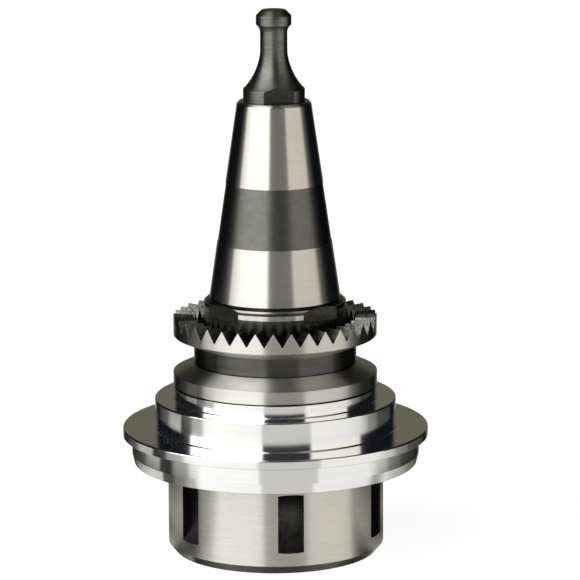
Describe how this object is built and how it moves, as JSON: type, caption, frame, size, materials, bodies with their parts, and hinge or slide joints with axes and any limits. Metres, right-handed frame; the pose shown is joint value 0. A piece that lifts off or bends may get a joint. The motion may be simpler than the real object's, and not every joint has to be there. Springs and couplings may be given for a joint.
{
  "type": "collet chuck",
  "caption": "Taper-shank tool holder with a toothed drive ring, a pull stud, a stepped dust ring and a slotted clamping nut that closes a spring collet.",
  "frame": {"origin": "on the axis, in the plane of the clamping nut's front face, which the chuck stands on", "axes": "+Z along the axis from the nut to the pull stud, -Y towards the front of the picture, +X to its right"},
  "size_m": [0.075, 0.075, 0.1339],
  "materials": {
    "ground_steel": "hardened, turned and ground, with a matt relieved band on the taper",
    "nut_steel": "satin turned steel",
    "blackened_steel": "turned and black oxided",
    "turned_aluminium": "fine turned, bright",
    "spring_steel": "phosphated spring steel",
    "bearing_steel": "lapped balls"
  },
  "bodies": {
    "shank": {"shank_body": "ground_steel", "toothed_ring": "ground_steel", "pull_stud": "blackened_steel", "dust_ring": "turned_aluminium", "retaining_ring": "spring_steel", "stop_screw": "blackened_steel"},
    "collet_set": {"collet": "ground_steel", "thrust_ring": "nut_steel"},
    "ball_set": {"bearing_balls": "bearing_steel"},
    "nut": {"clamping_nut": "nut_steel", "ball_plug": "nut_steel"}
  },
  "joints": [
    {"name": "collet_draw", "type": "slide", "parent": "shank", "child": "collet_set", "axis": [0, 0, -1], "range_m": [0, 0.003]},
    {"name": "nut_turn", "type": "hinge", "parent": "collet_set", "child": "nut", "pos_m": [0, 0, 0], "axis": [0, 0, -1], "range_deg": [0, 720]},
    {"name": "ball_orbit", "type": "hinge", "parent": "collet_set", "child": "ball_set", "pos_m": [0, 0, 0.0043], "axis": [0, 0, -1], "range_deg": [0, 360]}
  ],
  "couplings": [
    {"joint": "collet_draw", "follows": "nut_turn", "m_per_rad": 0.00023873},
    {"joint": "ball_orbit", "follows": "nut_turn", "ratio": 0.5}
  ]
}
